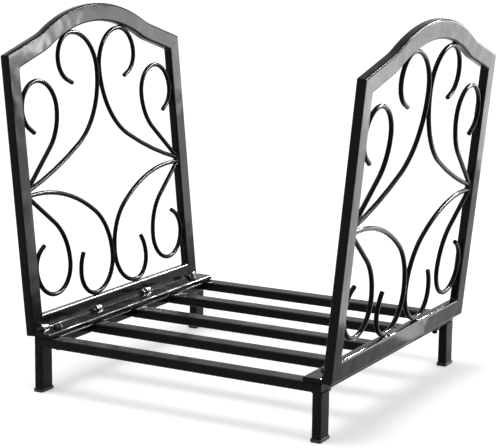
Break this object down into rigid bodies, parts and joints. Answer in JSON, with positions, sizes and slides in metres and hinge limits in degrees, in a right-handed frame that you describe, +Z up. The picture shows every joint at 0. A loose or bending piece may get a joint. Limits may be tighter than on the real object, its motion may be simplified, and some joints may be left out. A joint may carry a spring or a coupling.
{
  "type": "log holder",
  "caption": "Black welded steel firewood holder: low slatted base on short capped legs, with an arched, outward-leaning scrollwork panel bolted to each end.",
  "frame": {"origin": "on the floor, under the middle of the base", "axes": "+X from the left side panel to the right one, along the slats; +Y from the front to the back, along the panels; +Z up"},
  "size_m": [0.421, 0.3366, 0.3973],
  "materials": {
    "black_steel": "semi-gloss black powder coat over welded steel",
    "cap_plastic": "moulded black polyethylene",
    "black_fastener": "black oxide steel"
  },
  "bodies": {
    "root": {"front_rail": "black_steel", "back_rail": "black_steel", "left_end_rail": "black_steel", "right_end_rail": "black_steel", "slat_1": "black_steel", "slat_2": "black_steel", "slat_3": "black_steel", "front_left_leg": "black_steel", "front_left_foot_cap": "cap_plastic", "back_left_leg": "black_steel", "back_left_foot_cap": "cap_plastic", "front_right_leg": "black_steel", "front_right_foot_cap": "cap_plastic", "back_right_leg": "black_steel", "back_right_foot_cap": "cap_plastic", "left_bottom_rail": "black_steel", "left_top_rail": "black_steel", "left_mounting_strip": "black_steel", "left_strip_welds": "black_steel", "left_front_upright": "black_steel", "left_front_upper_inner_scroll": "black_steel", "left_front_lower_inner_scroll": "black_steel", "left_front_upper_outer_scroll": "black_steel", "left_front_lower_outer_scroll": "black_steel", "left_back_upright": "black_steel", "left_back_upper_inner_scroll": "black_steel", "left_back_lower_inner_scroll": "black_steel", "left_back_upper_outer_scroll": "black_steel", "left_back_lower_outer_scroll": "black_steel", "right_bottom_rail": "black_steel", "right_top_rail": "black_steel", "right_mounting_strip": "black_steel", "right_strip_welds": "black_steel", "right_front_upright": "black_steel", "right_front_upper_inner_scroll": "black_steel", "right_front_lower_inner_scroll": "black_steel", "right_front_upper_outer_scroll": "black_steel", "right_front_lower_outer_scroll": "black_steel", "right_back_upright": "black_steel", "right_back_upper_inner_scroll": "black_steel", "right_back_lower_inner_scroll": "black_steel", "right_back_upper_outer_scroll": "black_steel", "right_back_lower_outer_scroll": "black_steel", "panel_bolts": "black_fastener", "panel_nuts": "black_fastener"}
  },
  "joints": []
}
